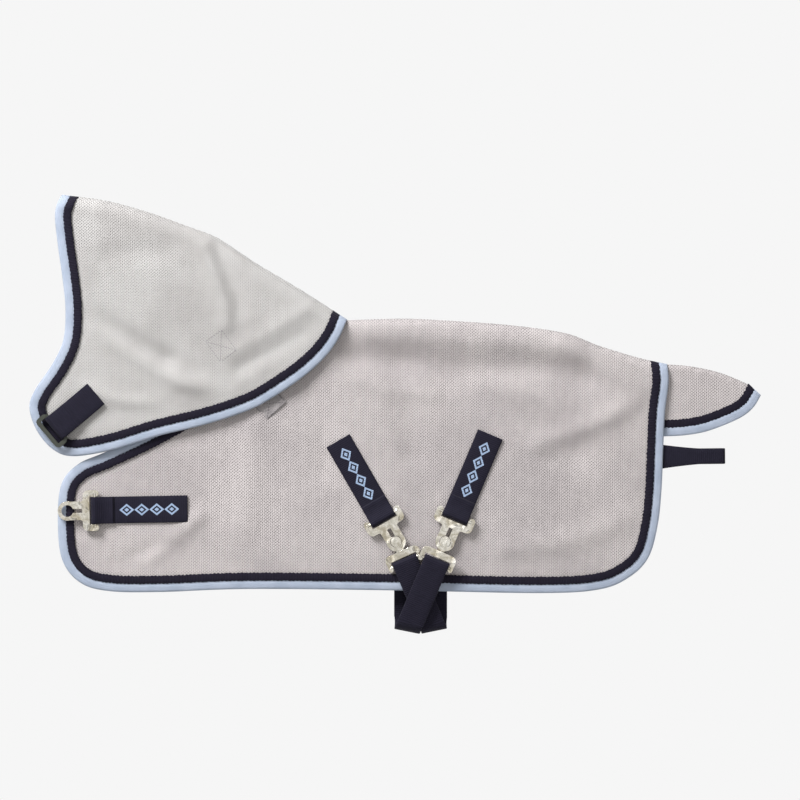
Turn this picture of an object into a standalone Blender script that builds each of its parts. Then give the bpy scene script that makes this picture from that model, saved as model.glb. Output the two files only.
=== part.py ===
"""Fly sheet for a toy pony, laid flat and folded in half along its back.

The near side lies on top and the off side underneath. The neck cover wraps round both of them and
is held by hook and loop pads, and the tail flap and the tail strap sit between them. All sizes are
in millimetres and are turned into metres where a mesh is written. X runs from the chest to the
tail, Y from the belly to the back and Z upwards. Levels are heights above the middle of the fold.
"""

import math

import bmesh
import bpy
from mathutils import Vector

MM = 0.001
NEAR = 1
OFF = -1

# Overall size of the folded sheet. The outlines below are drawn for the pattern size and graded.
SHEET_LENGTH = 409.4
SHEET_WIDTH = 247.0
PATTERN_LENGTH = 409.4
PATTERN_WIDTH = 247.0

# Cloth and trim
FIT_GAP = 0.3
CLOTH = 0.8
BINDING_THICKNESS = 1.4
BINDING_SHOWN = 4.8
BINDING_UNDER_BRAID = 2.0
BRAID_WIDTH = 4.4
BRAID_THICKNESS = 0.7
FOLD_LIP = 0.8
CURVE_TOLERANCE = 0.12

# Hook and loop pads
PAD_LENGTH = 15.0
PAD_WIDTH = 12.0
PAD_THICKNESS = 0.7

# Webbing
WEBBING_WIDTH = 15.0
WEBBING_THICKNESS = 0.9
LABEL_STRAP_LENGTH = 52.0
CHEST_STRAP_LENGTH = 54.0
FOLDED_END = 18.0
THROAT_STRAP_LENGTH = 31.0
CHEST_HOOK_SET_BACK = 7.0
STRAP_FALL = 0.11
RETURN_SPREAD = 1.0
TAIL_STRAP_WIDTH = 9.5

# Metal clips
BAR_RADIUS = 1.1
PLATE = 1.4
LOOP_SIDE = 3.6
HOOK_LOOP_SIDE = 2.4
LOOP_FRONT = 3.8
LOOP_BACK = 2.4
HOOK_LOOP_BACK = 2.4
EYE_RADIUS = 5.4
EYE_HOLE_RADIUS = 3.3
EYE_REACH = 15.3
EYE_NECK_WIDTH = 10.4
KEY_SLOT_WIDTH = 2.2
BOSS_RADIUS = 1.1
BOSS_RISE = 0.5
BOSS_TURN = 72.0
HOOK_REACH = 12.5
TONGUE_WIDTH = 4.6
HEAD_RISE = 0.2
EYE_CORNER = 3.2
HOOK_CORNER = 3.0
NECK_FILLET = 0.8
RISER_INSET = 0.2

# Plastic ring on the throat strap
RING_PLATE = 1.8
RING_RIM = 2.3
RING_SLOT = 2.6

# Levels outwards from the middle of the fold, the same on both sides
HALF_GAP = 2.3
BODY_BINDING = HALF_GAP
BODY_CLOTH = BODY_BINDING + (BINDING_THICKNESS - CLOTH) / 2
BODY_OUTSIDE = BODY_BINDING + BINDING_THICKNESS
BODY_BRAID = BODY_OUTSIDE + FIT_GAP
BODY_PAD = BODY_CLOTH + CLOTH + FIT_GAP
NECK_PAD = max(BODY_BRAID + BRAID_THICKNESS, BODY_PAD + PAD_THICKNESS) + FIT_GAP
NECK_BINDING = NECK_PAD + PAD_THICKNESS + FIT_GAP
NECK_CLOTH = NECK_BINDING + (BINDING_THICKNESS - CLOTH) / 2
NECK_OUTSIDE = NECK_BINDING + BINDING_THICKNESS
NECK_BRAID = NECK_OUTSIDE + FIT_GAP
STRAP_ON_BODY = BODY_CLOTH + CLOTH + FIT_GAP
STRAP_ON_NECK = NECK_BRAID + BRAID_THICKNESS + FIT_GAP
WEBBING_TURN = BAR_RADIUS + FIT_GAP + WEBBING_THICKNESS / 2
CLIP_BAR = STRAP_ON_BODY + WEBBING_TURN + WEBBING_THICKNESS / 2
REAR_HOOK_LIFT = WEBBING_TURN + WEBBING_THICKNESS / 2 + FIT_GAP + BAR_RADIUS
MIDDLE = max(STRAP_ON_NECK + WEBBING_THICKNESS, CLIP_BAR + WEBBING_TURN + WEBBING_THICKNESS / 2)

# Outlines at pattern size. A fold runs from the front to the rear, and an edge back round the outside.
BACK_FOLD = [(-45.6, 51.8), (-28.8, 53.0), (2.0, 54.0), (24.4, 53.2), (63.6, 50.4), (94.9, 45.9),
             (114.0, 38.8), (136.4, 32.0), (152.0, 28.6)]
BODY_EDGE = [(152.0, 28.6), (152.6, 18.0), (150.6, 2.0), (149.6, -18.0), (148.6, -42.0), (146.4, -62.0),
             (141.4, -79.5), (131.0, -90.5), (114.0, -97.6), (80.4, -99.7), (0.0, -98.2), (-82.0, -97.4),
             (-132.4, -99.1), (-160.4, -98.6), (-176.5, -94.0), (-186.6, -81.8), (-189.3, -62.0),
             (-187.6, -39.6), (-178.4, -27.8), (-162.7, -20.7), (-138.0, -9.0), (-110.0, 6.5),
             (-82.0, 23.5), (-59.6, 39.8), (-45.6, 51.8)]
CREST_FOLD = [(-187.3, 123.5), (-163.8, 120.4), (-140.3, 114.2), (-116.8, 105.8), (-102.2, 100.4),
              (-93.2, 95.0), (-77.6, 84.6), (-54.0, 71.1), (-31.0, 56.6)]
NECK_EDGE = [(-31.0, 56.6), (-30.6, 45.6), (-38.9, 35.0), (-52.4, 21.6), (-71.4, 8.2), (-84.8, 1.7),
             (-106.1, -5.2), (-133.0, -11.8), (-158.0, -19.4), (-179.5, -23.0), (-191.0, -19.6),
             (-200.4, -9.0), (-204.7, 3.9), (-201.6, 14.0), (-191.8, 28.6), (-185.8, 42.0),
             (-184.6, 58.8), (-186.2, 76.0), (-189.0, 96.0), (-190.4, 112.6), (-187.3, 123.5)]
FLAP_FOLD = [(141.0, 29.0), (152.0, 28.4), (165.5, 27.2), (181.2, 23.8), (196.8, 17.4), (204.6, 11.2)]
FLAP_EDGE = [(204.6, 11.2), (200.6, 4.6), (194.6, -0.6), (185.1, -5.2), (173.3, -9.4), (161.6, -11.4),
             (149.8, -12.0), (141.0, -12.0)]

# Where the pieces sit, at pattern size. Headings are in degrees anticlockwise from +X.
UPPER_PAD = (-97.7, 38.6)
UPPER_PAD_TURN = -54.0
BODY_LOWER_PAD = (-70.8, 6.5)
NECK_LOWER_PAD = (-75.6, 13.2)
LOWER_PAD_TURN = 43.0
CHEST_EYE = (-183.6, -53.6)
CHEST_HEADING = 181.0
CLIPS = (13.7, -70.7)
CLIPS_APART = 12.4
FRONT_HEADING = -60.0
REAR_HEADING = -113.0
THROAT_END = (-167.3, 11.9)
THROAT_HEADING = -139.7
STRAP_TURNS = (13.8, -120.9)
TURNS_APART = 2.8
STRAP_ANCHOR_Y = -62.0
RETURN_AT_HEM_Y = -101.0
RETURN_PAST_BRAID_Y = -86.5
RETURN_ON_CLOTH_Y = -82.5
TAIL_STRAP_ROOT = (145.6, -23.4)
TAIL_STRAP_TIP = (184.6, -23.0)

# Hinge lines touch the folds from outside, so that no cloth lies beyond them.
BACK_HINGE = ((63.6, 51.0), (-0.9947, 0.1025))
CREST_HINGE = ((-102.2, 101.4), (-0.9165, 0.4001))
FLAP_HINGE = (150.6, 22.0)

NAVY = (0.018, 0.016, 0.035)
ICE_BLUE = (0.42, 0.50, 0.68)
MESH_GREY = (0.58, 0.54, 0.52)
NICKEL = (0.72, 0.69, 0.62)
OLIVE_BLACK = (0.035, 0.036, 0.030)


def graded(point):
    """A pattern point at the sheet's real size."""
    return Vector((point[0] * SHEET_LENGTH / PATTERN_LENGTH, point[1] * SHEET_WIDTH / PATTERN_WIDTH))


def compass(degrees):
    """Unit vector in the sheet's plane."""
    return Vector((math.cos(math.radians(degrees)), math.sin(math.radians(degrees))))


def across(direction):
    """The direction a quarter turn clockwise, which points inwards from an edge."""
    return Vector((direction.y, -direction.x))


def smooth_line(points, steps=10):
    """Points along a Catmull-Rom curve through the given points, thinned where it runs straight."""
    points = [graded(p) for p in points]
    ends = [2 * points[0] - points[1], *points, 2 * points[-1] - points[-2]]
    line = []
    for a, b, c, d in zip(ends, ends[1:], ends[2:], ends[3:]):
        for step in range(steps):
            t = step / steps
            line.append(0.5 * (2 * b + (c - a) * t + (2 * a - 5 * b + 4 * c - d) * t * t
                               + (3 * b - a - 3 * c + d) * t ** 3))
    return thinned(line + [points[-1]])


def thinned(line):
    """Leaves out the points that lie within the tolerance of the chord across them."""
    if len(line) < 3:
        return line
    chord = (line[-1] - line[0]).normalized()
    reach = [abs(across(chord).dot(p - line[0])) for p in line]
    far = max(range(len(line)), key=reach.__getitem__)
    if reach[far] <= CURVE_TOLERANCE:
        return [line[0], line[-1]]
    return thinned(line[:far + 1])[:-1] + thinned(line[far:])


def trimmed(line, distance):
    """The line without its first stretch of that length."""
    for n in range(len(line) - 1):
        side = line[n + 1] - line[n]
        if distance < side.length:
            return [line[n] + side * (distance / side.length), *line[n + 1:]]
        distance -= side.length
    return line[-1:]


class Outline:
    """One side of a folded cloth: its fold, its bound edge, and offsets inwards from that edge."""

    def __init__(self, fold, edge):
        self.fold = smooth_line(fold)
        self.edge = smooth_line(edge)
        self.root = (self.edge[-1] - self.fold[0]).length > FIT_GAP
        self.inwards = self.edge_directions()

    def edge_directions(self):
        """For each point of the edge, how far it moves for an offset of one millimetre."""
        sides = [(b - a).normalized() for a, b in zip(self.edge, self.edge[1:])]
        found = []
        for before, after in zip(sides, sides[1:]):
            middle = (across(before) + across(after)).normalized()
            found.append(middle / middle.dot(across(after)))
        along_fold = (self.fold[-2] - self.fold[-1]).normalized()
        if self.root:
            at_end = (self.fold[0] - self.edge[-1]).normalized()
        else:
            at_end = (self.fold[1] - self.fold[0]).normalized()
        first = along_fold / along_fold.dot(across(sides[0]))
        last = at_end / at_end.dot(across(sides[-1]))
        return [first, *found, last]

    def offset(self, distance):
        return [p + d * distance for p, d in zip(self.edge, self.inwards)]

    def inner_fold(self, distance):
        """The fold between the two places where the offset edge meets it."""
        line = self.fold if self.root else trimmed(self.fold, distance * self.inwards[-1].length)
        return trimmed(line[::-1], distance * self.inwards[0].length)[::-1]


def new_object(name, mesh, material):
    obj = bpy.data.objects.new(name, mesh)
    bpy.context.scene.collection.objects.link(obj)
    if material:
        mesh.materials.append(material)
    return obj


def finished_mesh(name, build):
    """Writes a bmesh in metres, with its faces pointing out."""
    bmesh.ops.recalc_face_normals(build, faces=build.faces)
    bmesh.ops.scale(build, verts=build.verts, vec=(MM, MM, MM))
    mesh = bpy.data.meshes.new(name)
    build.to_mesh(mesh)
    build.free()
    return mesh


def paint(name, colour, roughness, metallic=0.0):
    material = bpy.data.materials.new(name)
    material.use_nodes = True
    shader = material.node_tree.nodes["Principled BSDF"]
    shader.inputs["Base Color"].default_value = (*colour, 1.0)
    shader.inputs["Roughness"].default_value = roughness
    shader.inputs["Metallic"].default_value = metallic
    return material


def ring(build, points, level):
    return [build.verts.new((p.x, p.y, level)) for p in points]


def join_rings(build, first, second, closed=False):
    count = len(first)
    for n in range(count if closed else count - 1):
        m = (n + 1) % count
        build.faces.new((first[n], first[m], second[m], second[n]))


def cloth_panel(name, outline, side, level, material):
    """A flat panel whose fold turns down to the middle, where it meets the other side's fold."""
    inset = BINDING_SHOWN + BINDING_UNDER_BRAID + FIT_GAP
    fold = outline.inner_fold(inset)
    edge = outline.offset(inset)[1:-1]
    corners = [fold[-1], *edge, fold[0]]
    if outline.root:
        corners = [fold[-1], *edge, outline.offset(inset)[-1], fold[0]]
    sides = [(b - a).normalized() for a, b in zip(fold, fold[1:])]
    down = [across(s) for s in sides]
    lip = [fold[0] + (corners[-2] - fold[0]).normalized() * FOLD_LIP]
    for n in range(1, len(fold) - 1):
        lip.append(fold[n] + (down[n - 1] + down[n]).normalized() * FOLD_LIP)
    lip.append(fold[-1] + (corners[1] - fold[-1]).normalized() * FOLD_LIP)
    build = bmesh.new()
    rest = corners[1:-1]
    outside = ring(build, fold + rest, MIDDLE + side * (level + CLOTH))
    inside = ring(build, lip + rest, MIDDLE + side * level)
    lip_out = ring(build, fold, MIDDLE + side * FIT_GAP / 2)
    lip_in = ring(build, lip, MIDDLE + side * FIT_GAP / 2)
    count = len(fold)
    build.faces.new(outside)
    build.faces.new(inside)
    join_rings(build, outside[:count], lip_out)
    join_rings(build, lip_out, lip_in)
    join_rings(build, lip_in, inside[:count])
    join_rings(build, outside[count:], inside[count:])
    for here, there in ((count - 1, count), (0, -1)):
        build.faces.new((outside[here], lip_out[here], lip_in[here], inside[here], inside[there],
                         outside[there]))
    return new_object(name, finished_mesh(name, build), material)


def edge_strip(name, outline, inner, outer, low, high, material):
    """A flat tape that follows the bound edge, between two distances in from it."""
    build = bmesh.new()
    rings = [ring(build, outline.offset(d), z) for d, z in
             ((outer, low), (inner, low), (inner, high), (outer, high))]
    for n in range(4):
        join_rings(build, rings[n], rings[(n + 1) % 4])
    for end in (0, -1):
        build.faces.new([r[end] for r in rings])
    return new_object(name, finished_mesh(name, build), material)


def plate_mesh(name, outer, holes, low, high):
    """A flat plate with holes, filled from closed curves."""
    curve = bpy.data.curves.new(name, "CURVE")
    curve.dimensions = "2D"
    curve.fill_mode = "BOTH"
    curve.extrude = (high - low) / 2 * MM
    for loop in (outer, *holes):
        spline = curve.splines.new("POLY")
        spline.points.add(len(loop) - 1)
        for point, at in zip(spline.points, loop):
            point.co = (at.x * MM, at.y * MM, 0, 1)
        spline.use_cyclic_u = True
    guide = bpy.data.objects.new(name + "_curve", curve)
    bpy.context.scene.collection.objects.link(guide)
    bpy.context.view_layer.update()
    mesh = bpy.data.meshes.new_from_object(guide.evaluated_get(bpy.context.evaluated_depsgraph_get()))
    bpy.data.objects.remove(guide)
    build = bmesh.new()
    build.from_mesh(mesh)
    bmesh.ops.remove_doubles(build, verts=build.verts, dist=FIT_GAP * MM / 10)
    bmesh.ops.translate(build, verts=build.verts, vec=(0, 0, (low + high) / 2 * MM))
    bmesh.ops.recalc_face_normals(build, faces=build.faces)
    build.to_mesh(mesh)
    build.free()
    return mesh


def arc(centre, radius, start, end, steps):
    """Points on an arc, in degrees from start to end."""
    return [Vector(centre) + compass(start + (end - start) * n / steps) * radius for n in range(steps + 1)]


def rounded_box(low_x, high_x, half_width, radius, steps=3):
    """A rectangle with round corners, anticlockwise, centred on the X axis."""
    x, y = high_x - radius, half_width - radius
    left = low_x + radius
    return [*arc((x, -y), radius, -90, 0, steps), *arc((x, y), radius, 0, 90, steps),
            *arc((left, y), radius, 90, 180, steps), *arc((left, -y), radius, 180, 270, steps)]


def rod(name, radius, start, end, sides=12):
    """A round rod between two points, as a mesh in metres."""
    build = bmesh.new()
    bmesh.ops.create_cone(build, cap_ends=True, segments=sides, radius1=radius, radius2=radius,
                          depth=(end - start).length)
    turn = Vector((0, 0, 1)).rotation_difference(end - start).to_matrix()
    bmesh.ops.rotate(build, verts=build.verts, matrix=turn)
    bmesh.ops.translate(build, verts=build.verts, vec=(start + end) / 2)
    return finished_mesh(name, build)


def helper(name, mesh):
    """A shape that only cuts or joins another one, and isn't a piece itself."""
    obj = new_object(name, mesh, None)
    obj.hide_render = True
    obj.display_type = "WIRE"
    return obj


def combine(obj, mesh, operation):
    tool = helper(f"{obj.name}_{operation.lower()}_{len(obj.modifiers)}", mesh)
    tool.parent = obj
    change = obj.modifiers.new(tool.name, "BOOLEAN")
    change.operation = operation
    change.object = tool


def clip_eye(name, material):
    """Stamped eye: a webbing bar on the origin, a slotted neck, and a ring along +X for the hook's head."""
    half = WEBBING_WIDTH / 2 + FIT_GAP
    front = BAR_RADIUS + FIT_GAP + WEBBING_THICKNESS + 2 * FIT_GAP
    loop_end = front + LOOP_FRONT
    neck = EYE_NECK_WIDTH / 2
    join = math.degrees(math.asin(neck / EYE_RADIUS))
    lobe = LOOP_SIDE / 2
    outline = [
        Vector((lobe - LOOP_BACK, -half)), *arc((lobe - LOOP_BACK, -half - lobe), lobe, 90, 270, 6),
        *arc((loop_end - EYE_CORNER, EYE_CORNER - half - LOOP_SIDE), EYE_CORNER, 270, 345, 4),
        Vector((loop_end, -neck - NECK_FILLET)), Vector((loop_end + NECK_FILLET, -neck)),
        *arc((EYE_REACH, 0), EYE_RADIUS, join - 180, 180 - join, 16),
        Vector((loop_end + NECK_FILLET, neck)), Vector((loop_end, neck + NECK_FILLET)),
        *arc((loop_end - EYE_CORNER, half + LOOP_SIDE - EYE_CORNER), EYE_CORNER, 15, 90, 4),
        *arc((lobe - LOOP_BACK, half + lobe), lobe, 90, 270, 6), Vector((lobe - LOOP_BACK, half)),
        Vector((front, half)), Vector((front, -half)),
    ]
    outline = [p for n, p in enumerate(outline) if (p - outline[n - 1]).length > FIT_GAP / 3]
    mouth = math.degrees(math.asin(KEY_SLOT_WIDTH / 2 / EYE_HOLE_RADIUS))
    slot_end = loop_end + NECK_FILLET / 2
    key = [*arc((EYE_REACH, 0), EYE_HOLE_RADIUS, mouth - 180, 180 - mouth, 16),
           Vector((slot_end, KEY_SLOT_WIDTH / 2)), Vector((slot_end, -KEY_SLOT_WIDTH / 2))]
    eye = new_object(name, plate_mesh(name, outline, [key], -PLATE / 2, PLATE / 2), material)
    reach = half + LOOP_SIDE / 2
    combine(eye, rod("bar", BAR_RADIUS, Vector((0, -reach, 0)), Vector((0, reach, 0))), "UNION")
    boss = (EYE_RADIUS + EYE_HOLE_RADIUS) / 2
    for turn in (BOSS_TURN, -BOSS_TURN):
        foot = Vector((*(Vector((EYE_REACH, 0)) + compass(180 + turn) * boss), PLATE / 4))
        top = foot + Vector((0, 0, PLATE / 4 + BOSS_RISE))
        combine(eye, rod("boss", BOSS_RADIUS, foot, top, 10), "UNION")
    return eye


def clip_hook(name, material, lift=0.0):
    """Hook that locks into the eye: a webbing loop, and along -X a tongue with a round head.

    The loop's bar is on the origin. The tongue lies lower by the lift, so one loop can lie over another.
    """
    half = WEBBING_WIDTH / 2 + FIT_GAP
    front = BAR_RADIUS + FIT_GAP + WEBBING_THICKNESS + 2 * FIT_GAP
    loop_end = front + LOOP_FRONT
    lobe = HOOK_LOOP_SIDE / 2
    outline = [
        *arc((HOOK_LOOP_BACK - lobe, half + lobe), lobe, -90, 90, 6),
        *arc((HOOK_CORNER - loop_end, half + HOOK_LOOP_SIDE - HOOK_CORNER), HOOK_CORNER, 90, 180, 5),
        *arc((HOOK_CORNER - loop_end, HOOK_CORNER - half - HOOK_LOOP_SIDE), HOOK_CORNER, 180, 270, 5),
        *arc((HOOK_LOOP_BACK - lobe, -half - lobe), lobe, -90, 90, 6),
        Vector((-front, -half)), Vector((-front, half)),
    ]
    hook = new_object(name, plate_mesh(name, outline, [], -PLATE / 2, PLATE / 2), material)
    reach = half + HOOK_LOOP_SIDE / 2
    combine(hook, rod("bar", BAR_RADIUS, Vector((0, -reach, 0)), Vector((0, reach, 0))), "UNION")
    top = -PLATE / 2 - FIT_GAP - lift
    low = STRAP_ON_BODY - CLIP_BAR - lift
    tongue = rounded_box(-HOOK_REACH - TONGUE_WIDTH / 2, -front - LOOP_FRONT / 2, TONGUE_WIDTH / 2, 2.0)
    combine(hook, plate_mesh("tongue", tongue, [], low, top), "UNION")
    riser = rounded_box(RISER_INSET - loop_end, -front - LOOP_FRONT / 3, TONGUE_WIDTH / 2 - RISER_INSET,
                        FIT_GAP, 1)
    combine(hook, plate_mesh("riser", riser, [], low + RISER_INSET, 0), "UNION")
    foot = Vector((-HOOK_REACH, 0, (low + top) / 2))
    head = Vector((-HOOK_REACH, 0, PLATE / 2 + HEAD_RISE - lift))
    combine(hook, rod("head", EYE_HOLE_RADIUS - FIT_GAP, foot, head, 20), "UNION")
    return hook


def throat_ring_piece(name, material):
    """Moulded ring: the webbing is sewn round its inner bar, on the origin, and its outer bar is along +X."""
    half = WEBBING_WIDTH / 2 + FIT_GAP
    slot_end = WEBBING_TURN + WEBBING_THICKNESS / 2 + RING_SLOT
    outer = rounded_box(-BAR_RADIUS / 2, slot_end + RING_RIM, half + RING_RIM, 2.4)
    window = rounded_box(0, slot_end, half, 0.4, 1)
    moulding = new_object(name, plate_mesh(name, outer, [window], -RING_PLATE / 2, RING_PLATE / 2), material)
    reach = half + RING_RIM / 2
    combine(moulding, rod("bar", BAR_RADIUS, Vector((0, -reach, 0)), Vector((0, reach, 0))), "UNION")
    return moulding


def ribbon(name, stations, width, material, thickness=WEBBING_THICKNESS):
    """Webbing through stations of (centre, direction across its width, direction of its thickness)."""
    build = bmesh.new()
    rings = []
    for centre, over, up in stations:
        corners = [(1, 1), (1, -1), (-1, -1), (-1, 1)]
        rings.append([build.verts.new(centre + over * (a * width / 2) + up * (b * thickness / 2))
                      for a, b in corners])
    for first, second in zip(rings, rings[1:]):
        join_rings(build, first, second, closed=True)
    build.faces.new(rings[0])
    build.faces.new(rings[-1])
    return new_object(name, finished_mesh(name, build), material)


def stations_along(profile, start, heading):
    """Stations of webbing whose centre line is a profile of (distance along the heading, height)."""
    over = Vector((*across(heading), 0))
    points = [Vector((*(start + heading * s), z)) for s, z in profile]
    return with_directions(points, [over] * len(points))


def with_directions(points, overs):
    """Adds the direction of the thickness, square to the run of the webbing and to its width."""
    found = []
    for n, (point, over) in enumerate(zip(points, overs)):
        before = (point - points[n - 1]).normalized() if n else None
        after = (points[n + 1] - point).normalized() if n + 1 < len(points) else None
        if before is None or after is None:
            up = over.cross(before or after).normalized()
        else:
            up = over.cross((before + after).normalized()).normalized()
            up = up / max(up.dot(over.cross(after).normalized()), 0.5)
        found.append((point, over, up))
    return found


def loop_round_bar(start_degrees, end_degrees, bar_level, steps=8):
    """Profile of webbing round a bar at distance 0, as (distance, height)."""
    turn = arc((0, bar_level), WEBBING_TURN, start_degrees, end_degrees, steps)
    return [(p.x, p.y) for p in turn]


def sewn_strap(name, bar, heading, length, width, side, level, material):
    """Webbing sewn down flat, running to a bar at the given place, round it, and back under itself."""
    low = MIDDLE + side * (level + WEBBING_THICKNESS / 2)
    high = MIDDLE + side * (level + WEBBING_THICKNESS * 1.5 + FIT_GAP / 2)
    bar_level = MIDDLE + side * (level + WEBBING_THICKNESS / 2 + WEBBING_TURN)
    rise = 2 * WEBBING_TURN + WEBBING_THICKNESS
    end = WEBBING_TURN + WEBBING_THICKNESS / 2
    profile = [(end - length, high), (-FOLDED_END / 2, high), (-rise / 2 - 1.2, high + side * 0.8)]
    profile += loop_round_bar(side * 90, -side * 90, bar_level)
    profile += [(-rise, low), (-FOLDED_END, low)]
    return ribbon(name, stations_along(profile, bar, heading), width, material)


def surcingle(name, bar, turn, lift, spread, material):
    """Belly strap: sewn round its hook's bar, then to its turn below the hem and back under the off side."""
    along = (turn - bar).normalized()
    top = MIDDLE + CLIP_BAR + lift + WEBBING_TURN
    fall = STRAP_FALL * along.y
    under = MIDDLE - BODY_BRAID - BRAID_THICKNESS - FIT_GAP - WEBBING_THICKNESS / 2
    reach = (turn - bar).length
    end = top + fall * reach
    radius = (end - under) / 2
    profile = [(-s, z) for s, z in loop_round_bar(-60, 90, top - WEBBING_TURN, 8)]
    overs = [Vector((*across(along), 0))] * len(profile)
    profile.append((reach - radius, end))
    sloping = Vector((*across(along), STRAP_FALL * across(along).y)).normalized()
    overs.append(sloping)
    fold = arc((reach - radius, under + radius), radius, 75, -90, 8)
    profile += [(p.x, p.y) for p in fold]
    points = [Vector((*(bar + along * s), z)) for s, z in profile]
    for n in range(1, len(fold) + 1):
        points[-n].x += (turn.x + spread - points[-n].x) * (1 - (n - 1) / len(fold))
    overs += [Vector((*(across(along) + Vector((-1, 0))).normalized(), 0))] * len(fold)
    on_cloth = MIDDLE - STRAP_ON_BODY - WEBBING_THICKNESS / 2
    for y, level in ((RETURN_AT_HEM_Y, under), (RETURN_PAST_BRAID_Y, under), (RETURN_ON_CLOTH_Y, on_cloth),
                     (STRAP_ANCHOR_Y, on_cloth)):
        points.append(Vector((turn.x + spread, graded((0, y)).y, level)))
        overs.append(Vector((-1, 0, 0)))
    return ribbon(name, with_directions(points, overs), WEBBING_WIDTH, material)


def tail_strap(name, root, tip, material):
    """Elastic strap sewn into both sides at the rump and folded back on itself behind the tail."""
    along = (tip - root).normalized()
    reach = (tip - root).length
    spread = HALF_GAP - FIT_GAP - WEBBING_THICKNESS / 2
    radius = WEBBING_THICKNESS
    fold = arc((reach - radius - WEBBING_THICKNESS / 2, MIDDLE), radius, 90, -90, 6)
    profile = [(0, MIDDLE + spread), (reach / 3, MIDDLE + spread), *((p.x, p.y) for p in fold),
               (reach / 3, MIDDLE - spread), (0, MIDDLE - spread)]
    points = [Vector((*(root + along * s), z)) for s, z in profile]
    over = Vector((*across(along), 0))
    return ribbon(name, with_directions(points, [over] * len(points)), TAIL_STRAP_WIDTH, material)


def pad(name, centre, turn, side, level, material):
    """Square of hook or loop tape."""
    build = bmesh.new()
    bmesh.ops.create_cube(build, size=1)
    bmesh.ops.scale(build, verts=build.verts, vec=(PAD_LENGTH, PAD_WIDTH, PAD_THICKNESS))
    obj = new_object(name, finished_mesh(name, build), material)
    place = graded(centre)
    obj.location = Vector((place.x, place.y, MIDDLE + side * (level + PAD_THICKNESS / 2))) * MM
    obj.rotation_euler.z = math.radians(turn)
    return obj


def folded_cloth(prefix, outline, side, binding_level, cloth_level, stuff):
    """A panel with its binding and the braid that covers the join between them."""
    inset = BINDING_SHOWN + BINDING_UNDER_BRAID
    low, high = sorted(MIDDLE + side * z for z in (binding_level, binding_level + BINDING_THICKNESS))
    braid = binding_level + BINDING_THICKNESS + FIT_GAP
    braid_low, braid_high = sorted(MIDDLE + side * z for z in (braid, braid + BRAID_THICKNESS))
    return [
        cloth_panel(prefix + "_panel", outline, side, cloth_level, stuff["mesh"]),
        edge_strip(prefix + "_binding", outline, 0, inset, low, high, stuff["binding"]),
        edge_strip(prefix + "_braid", outline, BINDING_SHOWN, BINDING_SHOWN + BRAID_WIDTH, braid_low,
                   braid_high, stuff["braid"]),
    ]


def flap_side(word, outline, side, level, stuff):
    """One side of the tail flap, thin enough to lie between the two sides of the sheet."""
    inset = BINDING_SHOWN + BINDING_UNDER_BRAID
    thickness = CLOTH
    low, high = sorted(MIDDLE + side * z for z in (level, level + thickness))
    braid = level + thickness + FIT_GAP / 2
    braid_low, braid_high = sorted(MIDDLE + side * z for z in (braid, braid + BRAID_THICKNESS / 2))
    return [
        cloth_panel(f"tail_{word}_panel", outline, side, level, stuff["mesh"]),
        edge_strip(f"tail_{word}_binding", outline, 0, inset, low, high, stuff["binding"]),
        edge_strip(f"tail_{word}_braid", outline, BINDING_SHOWN, BINDING_SHOWN + BRAID_WIDTH, braid_low,
                   braid_high, stuff["braid"]),
    ]


def hinge_point(name, x, y, level):
    """An empty on a joint's axis, which carries the pieces that turn or slide together."""
    empty = bpy.data.objects.new(name, None)
    empty.empty_display_size = 0.01
    bpy.context.scene.collection.objects.link(empty)
    empty.location = Vector((x, y, level)) * MM
    return empty


def carry(empty, pieces):
    bpy.context.view_layer.update()
    for piece in pieces:
        piece.parent = empty
        piece.matrix_parent_inverse = empty.matrix_world.inverted()


def set_clip(obj, place, heading, side, level=CLIP_BAR):
    """Puts a clip's bar at a place on one side of the sheet, facing outwards."""
    obj.location = Vector((place.x, place.y, MIDDLE + side * level)) * MM
    obj.rotation_euler = (0 if side == NEAR else math.pi, 0, heading)


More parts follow.
